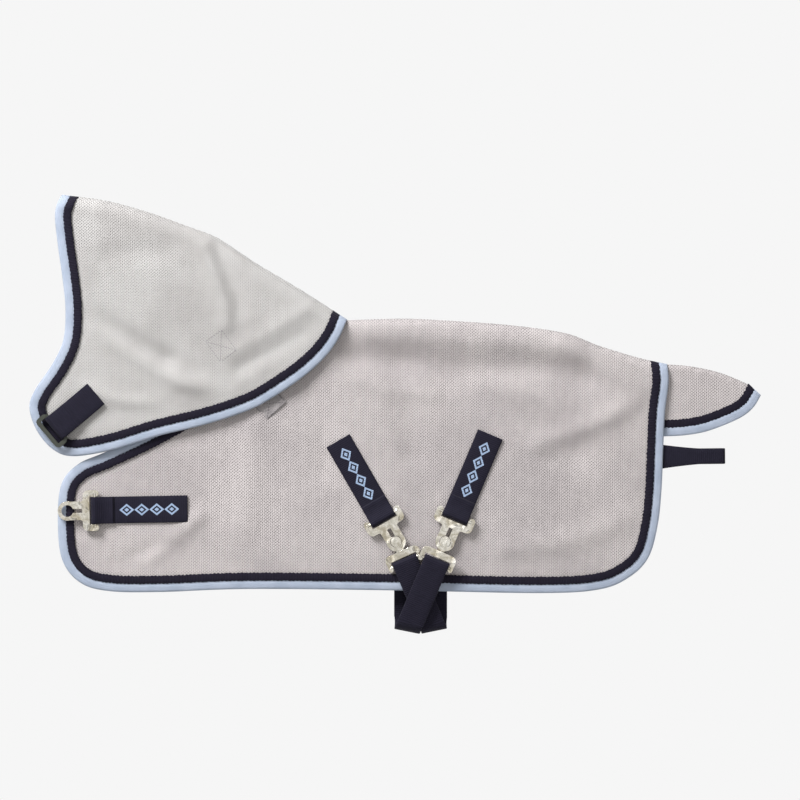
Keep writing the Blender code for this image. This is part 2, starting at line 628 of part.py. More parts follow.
def build_sheet():
    for obj in list(bpy.data.objects):
        bpy.data.objects.remove(obj)
    stuff = {
        "mesh": paint("mesh_cloth", MESH_GREY, 0.9),
        "binding": paint("pale_blue_binding", ICE_BLUE, 0.8),
        "braid": paint("navy_braid", NAVY, 0.85),
        "webbing": paint("navy_webbing", NAVY, 0.8),
        "tape": paint("hook_and_loop_tape", MESH_GREY, 0.95),
        "nickel": paint("nickel_plate", NICKEL, 0.25, 1.0),
        "plastic": paint("black_plastic", OLIVE_BLACK, 0.45),
    }
    body = Outline(BACK_FOLD, BODY_EDGE)
    neck = Outline(CREST_FOLD, NECK_EDGE)
    flap = Outline(FLAP_FOLD, FLAP_EDGE)
    sides = ((NEAR, "near"), (OFF, "off"))
    bodies = {}
    for side, word in sides:
        bodies[word] = folded_cloth(word, body, side, BODY_BINDING, BODY_CLOTH, stuff)
        bodies[word].append(pad(f"{word}_upper_loop_pad", UPPER_PAD, UPPER_PAD_TURN, side, BODY_PAD,
                                stuff["tape"]))
        bodies[word].append(pad(f"{word}_lower_loop_pad", BODY_LOWER_PAD, LOWER_PAD_TURN, side, BODY_PAD,
                                stuff["tape"]))
        bodies["neck_" + word] = folded_cloth("neck_" + word, neck, side, NECK_BINDING, NECK_CLOTH, stuff)
        for height, place, turn in (("upper", UPPER_PAD, UPPER_PAD_TURN),
                                    ("lower", NECK_LOWER_PAD, LOWER_PAD_TURN)):
            bodies["neck_" + word].append(
                pad(f"neck_{word}_{height}_hook_pad", place, turn, side, NECK_PAD, stuff["tape"]))
    flap_level = FIT_GAP / 2 + FIT_GAP
    tail = []
    for side, word in sides:
        tail += flap_side(word, flap, side, flap_level, stuff)

    chest = compass(CHEST_HEADING)
    chest_bar = graded(CHEST_EYE) - chest * EYE_REACH
    bodies["near"].append(sewn_strap("near_chest_strap", chest_bar, chest, CHEST_STRAP_LENGTH, WEBBING_WIDTH,
                                     NEAR, STRAP_ON_BODY, stuff["webbing"]))
    hook_bar = chest_bar - chest * CHEST_HOOK_SET_BACK
    bodies["off"].append(sewn_strap("off_chest_strap", hook_bar, chest,
                                    CHEST_STRAP_LENGTH - CHEST_HOOK_SET_BACK, WEBBING_WIDTH, OFF,
                                    STRAP_ON_BODY, stuff["webbing"]))
    chest_eye = clip_eye("near_chest_eye", stuff["nickel"])
    set_clip(chest_eye, chest_bar, math.radians(CHEST_HEADING), NEAR)
    chest_hook = clip_hook("off_chest_hook", stuff["nickel"])
    set_clip(chest_hook, hook_bar, math.radians(CHEST_HEADING + 180), OFF)

    clips = {}
    for word, hand, heading, lift in (("front", -1, FRONT_HEADING, 0.0),
                                      ("rear", 1, REAR_HEADING, REAR_HOOK_LIFT)):
        eye_place = graded(CLIPS) + Vector((hand * (WEBBING_WIDTH + CLIPS_APART) / 2, 0))
        turn = graded(STRAP_TURNS) - Vector((hand * (WEBBING_WIDTH + TURNS_APART) / 2, 0))
        bar = eye_place - compass(heading) * EYE_REACH
        hook_bar = eye_place + (turn - eye_place).normalized() * HOOK_REACH
        hook_turn = math.atan2(turn.y - eye_place.y, turn.x - eye_place.x)
        bodies["near"].append(sewn_strap(f"{word}_label_strap", bar, compass(heading), LABEL_STRAP_LENGTH,
                                         WEBBING_WIDTH, NEAR, STRAP_ON_BODY, stuff["webbing"]))
        eye = clip_eye(f"{word}_surcingle_eye", stuff["nickel"])
        set_clip(eye, bar, math.radians(heading), NEAR)
        hook = clip_hook(f"{word}_surcingle_hook", stuff["nickel"], lift)
        set_clip(hook, hook_bar, hook_turn, NEAR, CLIP_BAR + lift)
        clips[word] = (bar, [eye, hook])
        bodies["off"].append(surcingle(f"{word}_surcingle_strap", hook_bar, turn, lift, -hand * RETURN_SPREAD,
                                       stuff["webbing"]))
    bodies["off"].append(tail_strap("tail_strap", graded(TAIL_STRAP_ROOT), graded(TAIL_STRAP_TIP),
                                    stuff["webbing"]))

    throat = compass(THROAT_HEADING)
    throat_end = graded(THROAT_END)
    throat_bar = throat_end + throat * (THROAT_STRAP_LENGTH - WEBBING_TURN - WEBBING_THICKNESS / 2)
    bodies["neck_near"].append(
        sewn_strap("near_throat_strap", throat_bar, throat, THROAT_STRAP_LENGTH, WEBBING_WIDTH, NEAR,
                   STRAP_ON_NECK, stuff["webbing"]))
    off_level = MIDDLE - STRAP_ON_NECK - WEBBING_THICKNESS / 2
    flat_strap = stations_along([(0, off_level), (THROAT_STRAP_LENGTH, off_level)], throat_end, throat)
    bodies["neck_off"].append(ribbon("off_throat_strap", flat_strap, WEBBING_WIDTH, stuff["webbing"]))
    throat_ring = throat_ring_piece("throat_ring", stuff["plastic"])
    set_clip(throat_ring, throat_bar, math.radians(THROAT_HEADING), NEAR,
             STRAP_ON_NECK + WEBBING_THICKNESS / 2 + WEBBING_TURN)

    back, crest, flap_at = graded(BACK_HINGE[0]), graded(CREST_HINGE[0]), graded(FLAP_HINGE)
    near_side = hinge_point("near_side_hinge", back.x, back.y, MIDDLE)
    neck_cover = hinge_point("neck_cover_slide", crest.x, crest.y, MIDDLE)
    neck_near = hinge_point("neck_near_hinge", crest.x, crest.y, MIDDLE)
    tail_flap = hinge_point("tail_flap_hinge", flap_at.x, flap_at.y, MIDDLE)
    carry(near_side, bodies["near"])
    carry(neck_cover, bodies["neck_off"] + [neck_near])
    carry(neck_near, bodies["neck_near"] + [throat_ring])
    carry(tail_flap, tail)
    for word, (bar, pieces) in clips.items():
        hinge = hinge_point(f"{word}_clip_hinge", bar.x, bar.y, MIDDLE + CLIP_BAR)
        carry(hinge, pieces)
        carry(near_side, [hinge])
    carry(near_side, [chest_eye])


build_sheet()
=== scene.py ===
"""Fly sheet for a toy pony, folded flat with its near side up, seen from straight above."""

import math

import bpy
import numpy as np
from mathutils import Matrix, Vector
from mathutils.geometry import delaunay_2d_cdt


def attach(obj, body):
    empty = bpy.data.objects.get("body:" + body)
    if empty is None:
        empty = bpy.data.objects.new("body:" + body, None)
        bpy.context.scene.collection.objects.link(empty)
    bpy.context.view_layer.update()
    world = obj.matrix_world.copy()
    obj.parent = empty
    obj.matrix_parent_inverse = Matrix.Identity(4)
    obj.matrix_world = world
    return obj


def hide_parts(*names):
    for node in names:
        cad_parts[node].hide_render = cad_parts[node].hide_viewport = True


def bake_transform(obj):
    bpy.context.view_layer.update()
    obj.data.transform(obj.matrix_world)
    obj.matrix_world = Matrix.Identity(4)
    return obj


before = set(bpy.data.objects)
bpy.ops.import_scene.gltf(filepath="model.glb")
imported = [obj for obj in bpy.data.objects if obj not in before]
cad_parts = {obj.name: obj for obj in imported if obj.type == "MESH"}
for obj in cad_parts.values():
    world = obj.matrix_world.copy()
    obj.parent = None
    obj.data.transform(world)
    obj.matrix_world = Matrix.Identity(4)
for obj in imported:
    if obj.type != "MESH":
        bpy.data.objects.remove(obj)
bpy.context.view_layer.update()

# Camera, table and light. The sheet lies on a pale table and is looked at from straight above through a
# long lens. A broad soft light stands beyond the crest on the left, and the room fills in the rest.
TARGET = Vector((0.0022, 0.0084, 0.012))
camera = bpy.data.objects.new("camera", bpy.data.cameras.new("camera"))
bpy.context.scene.collection.objects.link(camera)
camera.data.lens = 120
camera.location = TARGET + Vector((0, 0, 0.448 / 2 * 120 / 18))
camera.data.clip_end = 20
bpy.context.scene.camera = camera
bpy.context.scene.view_settings.view_transform = "Standard"


class Socket:
    """One output of a material's node tree. Sums, products and comparisons of these make new nodes."""

    def __init__(self, paint, output):
        self.paint, self.output = paint, output

    def maths(self, operation, *others):
        return self.paint.node("ShaderNodeMath", list(enumerate((self, *others))), operation=operation)

    def __add__(self, other):
        return self.maths("ADD", other)

    def __sub__(self, other):
        return self.maths("SUBTRACT", other)

    def __mul__(self, other):
        return self.maths("MULTIPLY", other)

    def __truediv__(self, other):
        return self.maths("DIVIDE", other)

    def wave(self):
        """A cosine from 0 to 1 with a period of one."""
        return (self * math.tau).maths("COSINE") * 0.5 + 0.5

    def step(self, low, high):
        """Rises smoothly from 0 to 1 between the two values."""
        return self.paint.node("ShaderNodeMapRange", [("Value", self), ("From Min", low), ("From Max", high)],
                               interpolation_type="SMOOTHSTEP")

    def triangle(self):
        """Distance to the nearest whole number, from 0 to 0.5."""
        return self.maths("PINGPONG", 0.5)


class Paint:
    """A procedural material, read from Object coordinates in metres or from the UV map, also in metres."""

    def __init__(self, name, uv=False, **settings):
        self.material = bpy.data.materials.new(name)
        self.material.use_nodes = True
        self.tree = self.material.node_tree
        self.shader = self.tree.nodes["Principled BSDF"]
        for key, value in settings.items():
            self.shader.inputs[key.replace("_", " ")].default_value = value
        coordinates = self.tree.nodes.new("ShaderNodeTexCoord")
        self.place = Socket(self, coordinates.outputs["UV" if uv else "Object"])
        split = self.tree.nodes.new("ShaderNodeSeparateXYZ")
        self.tree.links.new(self.place.output, split.inputs[0])
        self.x, self.y, self.z = (Socket(self, split.outputs[n]) for n in range(3))

    def node(self, kind, inputs, out=0, **settings):
        """Adds a node, sets it up and returns one of its outputs."""
        made = self.tree.nodes.new(kind)
        for key, value in settings.items():
            setattr(made, key, value)
        for key, value in inputs:
            if isinstance(value, Socket):
                self.tree.links.new(value.output, made.inputs[key])
            else:
                made.inputs[key].default_value = value
        return Socket(self, made.outputs[out])

    def noise(self, size, detail=2.0, stretch=None):
        place = self.place
        if stretch:
            place = self.node("ShaderNodeVectorMath", [(0, place), (1, stretch)], operation="MULTIPLY")
        return self.node("ShaderNodeTexNoise", [("Vector", place), ("Scale", 1 / size), ("Detail", detail)])

    def mix(self, share, first, second):
        """Blends two colours by a share from 0 to 1."""
        return self.node("ShaderNodeMix", [(0, share), (6, first), (7, second)], out=2, data_type="RGBA")

    def colour(self, value):
        self.tree.links.new(value.output, self.shader.inputs["Base Color"])

    def roughness(self, value):
        self.tree.links.new(value.output, self.shader.inputs["Roughness"])

    def bump(self, height, depth):
        """Height from 0 to 1 over a depth in metres."""
        bump = self.node("ShaderNodeBump", [("Height", height), ("Distance", depth), ("Strength", 1.0)])
        self.tree.links.new(bump.output, self.shader.inputs["Normal"])


def rgb(red, green, blue):
    """A colour as seen, from 0 to 255, as the linear RGBA that a socket takes."""
    shares = (red / 255, green / 255, blue / 255)
    return (*(((c + 0.055) / 1.055) ** 2.4 if c > 0.04 else c / 12.92 for c in shares), 1.0)


table_paint = Paint("table", Roughness=0.9, Specular_IOR_Level=0.0, Emission_Strength=1.0)
table_paint.shader.inputs["Base Color"].default_value = (0, 0, 0, 1)
table_paint.shader.inputs["Emission Color"].default_value = rgb(246, 246, 246)
bpy.ops.mesh.primitive_plane_add(size=6, location=(0, 0, -0.0004))
table = bpy.context.object
table.name = "table"
table.data.materials.append(table_paint.material)

for name, place, size, power in (("key", (-0.80, 1.05, 0.80), 0.6, 35), ("fill", (0.9, -0.7, 1.6), 1.2, 3)):
    light = bpy.data.objects.new(name, bpy.data.lights.new(name, "AREA"))
    light.data.size = size
    light.data.energy = power
    light.location = place
    light.rotation_euler = (TARGET - light.location).to_track_quat("-Z", "Y").to_euler()
    bpy.context.scene.collection.objects.link(light)

world = bpy.data.worlds.new("room")
world.use_nodes = True
bpy.context.scene.world = world
room = world.node_tree
ramp = room.nodes.new("ShaderNodeValToRGB")
for place, colour in ((0.25, (0.06, 0.055, 0.035)), (0.50, (1.1, 1.1, 1.08)), (0.74, (1.1, 1.1, 1.1)),
                      (0.84, (0.10, 0.09, 0.07)), (0.93, (1.5, 1.5, 1.48)), (0.995, (0.72, 0.70, 0.64))):
    ramp.color_ramp.elements.new(place).color = (*colour, 1)
ramp.color_ramp.elements.remove(ramp.color_ramp.elements[-1])
ramp.color_ramp.elements.remove(ramp.color_ramp.elements[0])
direction = room.nodes.new("ShaderNodeTexCoord")
split = room.nodes.new("ShaderNodeSeparateXYZ")
room.links.new(direction.outputs["Generated"], split.inputs[0])
room.links.new(split.outputs["Z"], ramp.inputs[0])
room.links.new(ramp.outputs[0], room.nodes["Background"].inputs[0])
room.nodes["Background"].inputs[1].default_value = 0.66


# Near side of the body: a knitted polyester mesh, pinkish grey, cut to one curved outline. It is folded
# along the back, bound at every other edge with a pale blue tape, and a navy braid is sewn over the join.
MIDDLE = 9.6
BINDING_SHOWN = 4.8
BRAID_WIDTH = 4.4
BACK_FOLD = [(-45.6, 51.8), (-28.8, 53.0), (2.0, 54.0), (24.4, 53.2), (63.6, 50.4), (94.9, 45.9),
             (114.0, 38.8), (136.4, 32.0), (152.0, 28.6)]
BODY_EDGE = [(152.0, 28.6), (152.6, 18.0), (150.6, 2.0), (149.6, -18.0), (148.6, -42.0), (146.4, -62.0),
             (141.4, -79.5), (131.0, -90.5), (114.0, -97.6), (80.4, -99.7), (0.0, -98.2), (-82.0, -97.4),
             (-132.4, -99.1), (-160.4, -98.6), (-176.5, -94.0), (-186.6, -81.8), (-189.3, -62.0),
             (-187.6, -39.6), (-178.4, -27.8), (-162.7, -20.7), (-138.0, -9.0), (-110.0, 6.5),
             (-82.0, 23.5), (-59.6, 39.8), (-45.6, 51.8)]
BODY_FOLDS = [
    ([(-24, 32), (10, 29), (45, 26), (80, 25), (104, 20)], 9.0, -3.4),
    ([(-14, 45), (30, 43), (70, 40), (100, 34)], 5.0, 0.9),
    ([(92, 41), (114, 27), (143, 9)], 4.5, 1.6),
    ([(80, -16), (108, -6), (137, 8)], 6.0, 2.0),
    ([(-78, 0), (-84, -60)], 9.0, 1.4),
    ([(2, 28), (9, -22)], 8.0, -1.4),
    ([(30, 18), (66, 2), (100, -20)], 9.0, -1.8),
    ([(-140, -83), (-110, -57)], 4.5, 1.6),
    ([(-158, -86), (-128, -72)], 4.0, -1.2),
    ([(60, -76), (96, -70), (132, -58)], 7.0, 1.3),
    ([(-60, 20), (-42, 0), (-40, -30)], 7.0, -1.3),
    ([(-38, 34), (-10, 16), (22, 12)], 5.0, 1.0),
]


def curve_through(points, spacing):
    """Evenly spaced points, in millimetres, on a smooth curve through the given ones."""
    points = np.array(points, float)
    ends = np.vstack([2 * points[0] - points[1], points, 2 * points[-1] - points[-2]])
    t = np.linspace(0, 1, 24, endpoint=False)[:, None]
    runs = []
    for a, b, c, d in zip(ends, ends[1:], ends[2:], ends[3:]):
        runs.append(0.5 * (2 * b + (c - a) * t + (2 * a - 5 * b + 4 * c - d) * t**2
                           + (3 * b - a - 3 * c + d) * t**3))
    line = np.vstack([*runs, points[-1:]])
    length = np.concatenate([[0], np.cumsum(np.linalg.norm(np.diff(line, axis=0), axis=1))])
    wanted = np.linspace(0, length[-1], max(2, round(length[-1] / spacing) + 1))
    return np.column_stack([np.interp(wanted, length, line[:, k]) for k in range(line.shape[1])])


def side_of(line):
    """Unit vectors a quarter turn clockwise from a line's run, which point inwards from an edge."""
    run = np.gradient(line[:, :2], axis=0)
    run /= np.linalg.norm(run, axis=1)[:, None]
    return np.column_stack([run[:, 1], -run[:, 0]])


def distance_to(points, line):
    """Distance in the plane from each point to a line of straight sides."""
    best = np.full(len(points), 1e9)
    for a, b in zip(line, line[1:]):
        side = b - a
        t = np.clip(((points - a) @ side) / max(side @ side, 1e-9), 0, 1)
        best = np.minimum(best, np.linalg.norm(points - a - t[:, None] * side, axis=1))
    return best


def relief(points, folds, edge):
    """Height of the soft folds in the cloth, which fade out where it is held flat at its edge."""
    height = np.zeros(len(points))
    for line, width, rise in folds:
        height += rise * np.exp(-(distance_to(points, curve_through(line, 4.0)) / width) ** 2)
    return height * np.clip((distance_to(points, edge) - 10) / 14, 0, 1)


def rounded_fold(points, fold, radius):
    """How far the cloth has risen from the middle of the fold to its full height."""
    d = np.clip(distance_to(points, fold) / radius, 0, 1)
    return np.sqrt(1 - (1 - d) ** 2)


def new_piece(name, vertices, faces, paint, uv=None):
    """A mesh piece from points in millimetres, shaded smooth."""
    mesh = bpy.data.meshes.new(name)
    mesh.from_pydata((np.array(vertices) * 0.001).tolist(), [], faces)
    if uv is not None:
        layer = mesh.uv_layers.new(name="UVMap")
        at = np.array([uv[v] for polygon in mesh.polygons for v in polygon.vertices]) * 0.001
        layer.data.foreach_set("uv", at.ravel())
    mesh.shade_smooth()
    mesh.materials.append(paint.material)
    obj = bpy.data.objects.new(name, mesh)
    bpy.context.scene.collection.objects.link(obj)
    return obj


def apply_modifiers(obj):
    """Makes the object's modifiers part of its mesh."""
    bpy.ops.object.select_all(action="DESELECT")
    obj.select_set(True)
    bpy.context.view_layer.objects.active = obj
    for modifier in list(obj.modifiers):
        bpy.ops.object.modifier_apply(modifier=modifier.name)
    return obj


def surface(points, level, side, folds, fold, edge, radius):
    """Height of the outside of a cloth over each point."""
    return MIDDLE + side * (level + relief(points, folds, edge)) * rounded_fold(points, fold, radius)


def cloth(name, fold, edge, level, sides, radius, paint, spacing=2.2, inset=3.0, thickness=0.7):
    """A folded cloth, built for each of its sides out to the cut edge that lies under the binding."""
    cut = edge + side_of(edge) * inset
    rim = np.vstack([fold, cut[distance_to(cut, fold) > inset]])
    low, high = rim.min(0), rim.max(0)
    grid = np.array([(x + (n % 2) * spacing / 2, y) for n, y in enumerate(np.arange(low[1], high[1], spacing))
                     for x in np.arange(low[0], high[0], spacing)])
    grid = grid[distance_to(grid, np.vstack([rim, rim[:1]])) > spacing * 0.6]
    made = delaunay_2d_cdt([Vector(p) for p in np.vstack([rim, grid])], [], [list(range(len(rim)))], 1, 1e-5)
    flat = np.array([tuple(p) for p in made[0]])
    vertices, faces = [], []
    for side, folds in sides:
        first = sum(len(v) for v in vertices)
        vertices.append(np.column_stack([flat, surface(flat, level, side, folds, fold, edge, radius)]))
        for face in made[2]:
            around = [first + v for v in face]
            faces.append(around if side > 0 else around[::-1])
    obj = new_piece(name, np.vstack(vertices), faces, paint)
    weld = obj.modifiers.new("weld", "WELD")
    weld.merge_threshold = 0.00002
    thick = obj.modifiers.new("thickness", "SOLIDIFY")
    thick.thickness = thickness * 0.001
    thick.offset = -1
    return apply_modifiers(obj)


def tape(name, edge, profile, side, fold, radius, paint, closed=True):
    """A tape along an edge. Its profile is (distance in from the edge, height above the middle)."""
    inwards = side_of(edge)
    count, size = len(edge), len(profile)
    vertices, uv = [], []
    travel = np.concatenate([[0], np.cumsum(np.linalg.norm(np.diff(edge, axis=0), axis=1))])
    for end, from_end, first, second in ((0, travel, -1, -3), (-1, travel[-1] - travel, 0, 2)):
        if np.linalg.norm(edge[end] - fold[first]) < 0.5:
            along = (fold[second] - fold[first]) / np.linalg.norm(fold[second] - fold[first])
            slanted = along / max(along @ inwards[end], 0.45)
            share = np.clip(1 - from_end / 9, 0, 1)[:, None]
            inwards = inwards * (1 - share) + slanted * share
    section = np.array([(d(np.zeros(1))[0] if callable(d) else d, z) for d, z in profile])
    around = np.concatenate([[0], np.cumsum(np.linalg.norm(np.diff(section, axis=0), axis=1))])
    for n, (d, z) in enumerate(profile):
        inset = d(travel) if callable(d) else np.full(count, d)
        flat = edge + inwards * inset[:, None]
        height = MIDDLE + side * z * rounded_fold(flat, fold, radius)
        vertices.append(np.column_stack([flat, height]))
        uv.append(np.column_stack([travel, np.full(count, around[n])]))
    faces = []
    for n in range(size if closed else size - 1):
        m = (n + 1) % size
        for k in range(count - 1):
            face = (n * count + k, n * count + k + 1, m * count + k + 1, m * count + k)
            faces.append(face if side < 0 else face[::-1])
    return new_piece(name, np.vstack(vertices), faces, paint, np.vstack(uv))


def mesh_paint(name, light, dark, depth=0.5):
    """Knitted mesh: staggered open cells between the ribs of the knit. The cells are filled with painted
    shade that the layer below breaks up a little out of step with them, which gives the soft bands seen on
    the real cloth. The ribs carry a lighter share of the same painted shade."""
    paint = Paint(name, Roughness=0.9, Sheen_Weight=0.15, Sheen_Roughness=0.5, Specular_IOR_Level=0.25)
    drift = paint.noise(0.03, 1.0)
    across = (paint.x / 0.00185) + drift * 0.9
    along = (paint.y / 0.00160) - drift * 0.7
    cells = (across + along).wave() * (across - along).wave()
    holes = cells.step(0.30, 0.90)
    sway = paint.noise(0.05, 1.0)
    below_across = (paint.x / 0.00178 + paint.y / 0.021 + sway) * 2.0
    below_along = (paint.y / 0.00154 - paint.x / 0.019) * 2.0
    below = below_across.wave() * below_along.wave()
    ribs = (paint.x / 0.0011).wave() * 0.5 + paint.noise(0.0007, 2.0, (1.0, 0.35, 1.0)) * 0.5
    cloudy = paint.noise(0.03, 3.0)
    base = paint.mix(cloudy.step(0.35, 0.68), light, dark)
    # Painted shade: the dark tone at 46 per cent, laid in the open cells (mixed with the layer below) and
    # along the ribs, where shadow would fall.
    shade = tuple(c * 0.46 for c in dark[:3]) + (1.0,)
    through = paint.mix(below, shade, dark)
    ribbed = paint.mix(ribs.step(0.2, 0.95) * (depth * 0.4), base, shade)
    paint.colour(paint.mix(holes * depth, ribbed, through))
    paint.bump(ribs * 0.35 - holes, 0.00045)
    return paint


body_mesh = mesh_paint("body_mesh", rgb(202, 195, 195), rgb(186, 179, 180), 1.0)


def binding_paint(name):
    """Pale blue woven binding: fine weave over a cloudy tone. The pale wear at the turned edge is left out.
    """
    paint = Paint(name, uv=True, Roughness=0.75, Sheen_Weight=0.15, Sheen_Roughness=0.4,
                  Specular_IOR_Level=0.25)
    weave = (paint.x / 0.00055).wave() * (paint.y / 0.00055).wave()
    cloudy = paint.noise(0.012, 2.0)
    base = paint.mix(cloudy.step(0.3, 0.7), rgb(174, 184, 202), rgb(160, 171, 190))
    paint.colour(paint.mix(weave * 0.22, base, rgb(132, 144, 166)))
    paint.bump(weave + cloudy * 0.6, 0.00012)
    return paint


def braid_paint(name):
    """Navy grosgrain: close ribs across the braid."""
    paint = Paint(name, uv=True, Roughness=0.8, Sheen_Weight=0.03, Sheen_Roughness=0.4,
                  Specular_IOR_Level=0.12)
    ribs = (paint.x / 0.0009).wave()
    base = paint.mix(paint.noise(0.004, 2.0), rgb(29, 26, 39), rgb(38, 35, 50))
    paint.colour(paint.mix(ribs * 0.5, base, rgb(17, 15, 24)))
    paint.bump(ribs + paint.noise(0.0008, 2.0) * 0.4, 0.0002)
    return paint


blue_binding = binding_paint("blue_binding")
navy_braid = braid_paint("navy_braid")


def trim(prefix, fold_points, edge_points, binding_level, side, radius, thickness=1.6, braid_thickness=0.7):
    """The binding folded round an edge, and the braid sewn over the binding's inner edge."""
    fold = curve_through(fold_points, 2.5)
    edge = curve_through(edge_points, 1.1)
    low, high = binding_level, binding_level + thickness
    half = thickness / 2
    profile = [(7.0, high), (3.0, high + 0.1), (1.2, high), (0.35, high - half * 0.35), (0.0, low + half),
               (0.35, low + half * 0.35), (1.2, low), (7.0, low)]
    binding = tape(prefix + "_binding_tape", edge, profile, side, fold, radius, blue_binding)

    def wavy(place, sign):
        return lambda travel: place + sign * (0.2 * np.cos(travel * math.tau / 2.2)
                                              + 0.08 * np.sin(travel * 0.9))

    top = high + braid_thickness
    inner, outer = BINDING_SHOWN + BRAID_WIDTH, BINDING_SHOWN
    strip = [(wavy(inner, 1), high - 0.3), (wavy(inner, 1), top - 0.25), (wavy(inner - 0.5, 1), top),
             ((inner + outer) / 2, top + 0.05), (wavy(outer + 0.5, -1), top), (wavy(outer, -1), top - 0.25),
             (wavy(outer, -1), high - 0.3)]
    braid = tape(prefix + "_braid_ribbon", curve_through(edge_points, 0.55), strip, side, fold, radius,
                 navy_braid)
    return binding, braid


def box_of(points):
    """Length and width in millimetres of an outline."""
    return np.array(points).max(0) - np.array(points).min(0)


body_outline = BACK_FOLD + BODY_EDGE[1:-1]
body_fold, body_edge = curve_through(BACK_FOLD, 2.5), curve_through(BODY_EDGE, 1.1)
body_cloth = cloth("body_cloth", body_fold, body_edge, 3.3, ((1, BODY_FOLDS), (-1, [])), 7.0, body_mesh)
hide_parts("near_panel", "off_panel")
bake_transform(body_cloth)
for word, side in (("near", 1), ("off", -1)):
    for piece, kind, finish in zip(trim(word, BACK_FOLD, BODY_EDGE, 2.3, side, 7.0), ("binding", "braid"),
                                   ("pale_blue_binding", "navy_braid")):
        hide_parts(f"{word}_{kind}")
        if side > 0:
            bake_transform(piece)
        else:
            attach(piece, "off_side")
length, width = box_of(body_outline)


# Neck cover: the same mesh, folded along the crest, with its own binding and braid. It wraps round the
# withers of the body, where four squares of hook and loop hold it, and it hangs a little fuller.
CREST_FOLD = [(-187.3, 123.5), (-163.8, 120.4), (-140.3, 114.2), (-116.8, 105.8), (-102.2, 100.4),
              (-93.2, 95.0), (-77.6, 84.6), (-54.0, 70.6), (-27.4, 53.6)]
NECK_EDGE = [(-27.4, 53.6), (-31.4, 44.0), (-38.8, 33.4), (-51.2, 21.8), (-71.4, 8.2), (-84.8, 1.7),
             (-106.1, -5.2), (-133.0, -11.8), (-158.0, -19.4), (-179.5, -23.0), (-191.0, -19.6),
             (-200.4, -9.0), (-204.7, 3.9), (-201.6, 14.0), (-191.8, 28.6), (-185.8, 42.0),
             (-184.6, 58.8), (-186.2, 76.0), (-189.0, 96.0), (-190.4, 112.6), (-187.3, 123.5)]
NECK_FOLDS = [
    ([(-177, 58.8), (-150, 42), (-129, 31)], 6.0, -3.0),
    ([(-129, 31), (-112, 24)], 5.0, -0.8),
    ([(-170, 50), (-140, 30), (-112, 14)], 5.0, 1.7),
    ([(-87, 25), (-60, 40), (-37, 53)], 4.5, -1.4),
    ([(-92, 34), (-66, 50), (-48, 60)], 4.0, 0.9),
    ([(-107, 95), (-96, 64), (-95, 50)], 4.0, 1.9),
    ([(-100, 94), (-86, 60)], 4.0, -1.2),
    ([(-172, 14), (-155, 8), (-136, 6)], 4.0, 1.6),
    ([(-170, 100), (-140, 78), (-118, 60)], 9.0, 0.6),
    ([(-160, 90), (-128, 92)], 6.0, -1.0),
    ([(-120, 18), (-92, 12), (-76, 24)], 5.0, 1.2),
]
neck_mesh = mesh_paint("neck_mesh", rgb(194, 192, 191), rgb(182, 179, 178), 0.6)
neck_outline = CREST_FOLD + NECK_EDGE[1:-1]
neck_fold, neck_edge = curve_through(CREST_FOLD, 2.5), curve_through(NECK_EDGE, 1.1)
neck_cloth = cloth("neck_cloth", neck_fold, neck_edge, 7.0, ((1, NECK_FOLDS), (-1, [])), 8.0, neck_mesh)
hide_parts("neck_near_panel", "neck_off_panel")
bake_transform(neck_cloth)
for word, side in (("neck_near", 1), ("neck_off", -1)):
    for piece, kind, finish in zip(trim(word, CREST_FOLD, NECK_EDGE, 6.0, side, 8.0), ("binding", "braid"),
                                   ("pale_blue_binding", "navy_braid")):
        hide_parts(f"{word}_{kind}")
        if side > 0:
            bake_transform(piece)
        else:
            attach(piece, "neck_off")
length, width = box_of(neck_outline)


# Tail flap: a small folded piece of the same mesh, bound in the same way, whose root lies between the two
# sides of the sheet and is sewn to the off side.
FLAP_FOLD = [(141.0, 29.0), (152.0, 28.4), (165.5, 27.2), (181.2, 23.8), (196.8, 17.4), (204.6, 11.2)]
FLAP_EDGE = [(204.6, 11.2), (200.6, 4.6), (194.6, -0.6), (185.1, -5.2), (173.3, -9.4), (161.6, -11.4),
             (149.8, -12.0), (141.0, -12.0)]
flap_outline = FLAP_FOLD + FLAP_EDGE[1:]
flap_fold, flap_edge = curve_through(FLAP_FOLD, 1.5), curve_through(FLAP_EDGE, 1.1)
flap_cloth = cloth("tail_flap_cloth", flap_fold, flap_edge, 1.2, ((1, []), (-1, [])), 1.5, body_mesh,
                   spacing=1.6, thickness=0.4)
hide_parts("tail_near_panel", "tail_off_panel")
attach(flap_cloth, "tail_flap")
for word, side in (("tail_near", 1), ("tail_off", -1)):
    for piece, kind, finish in zip(trim(word, FLAP_FOLD, FLAP_EDGE, 0.45, side, 1.5, 0.9, 0.4),
                                   ("binding", "braid"), ("pale_blue_binding", "navy_braid")):
        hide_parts(f"{word}_{kind}")
        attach(piece, "tail_flap")
length, width = box_of(flap_outline)


# Hook and loop squares: napped tape sewn to the cloth round its edge and across, two pairs on each side.
# The loop squares are on the body and the hook squares inside the neck cover.
def nap_paint(name):
    """Short matted pile, with the odd thread pulled up."""
    paint = Paint(name, Roughness=0.95, Sheen_Weight=0.4, Sheen_Roughness=0.6, Specular_IOR_Level=0.2)
    pile = paint.noise(0.0007, 4.0)
    base = paint.mix(paint.noise(0.004, 2.0).step(0.3, 0.7), rgb(160, 155, 156), rgb(138, 133, 135))
    paint.colour(paint.mix(pile.step(0.35, 0.75) * 0.5, base, rgb(120, 116, 118)))
    paint.bump(pile, 0.0005)
    return paint


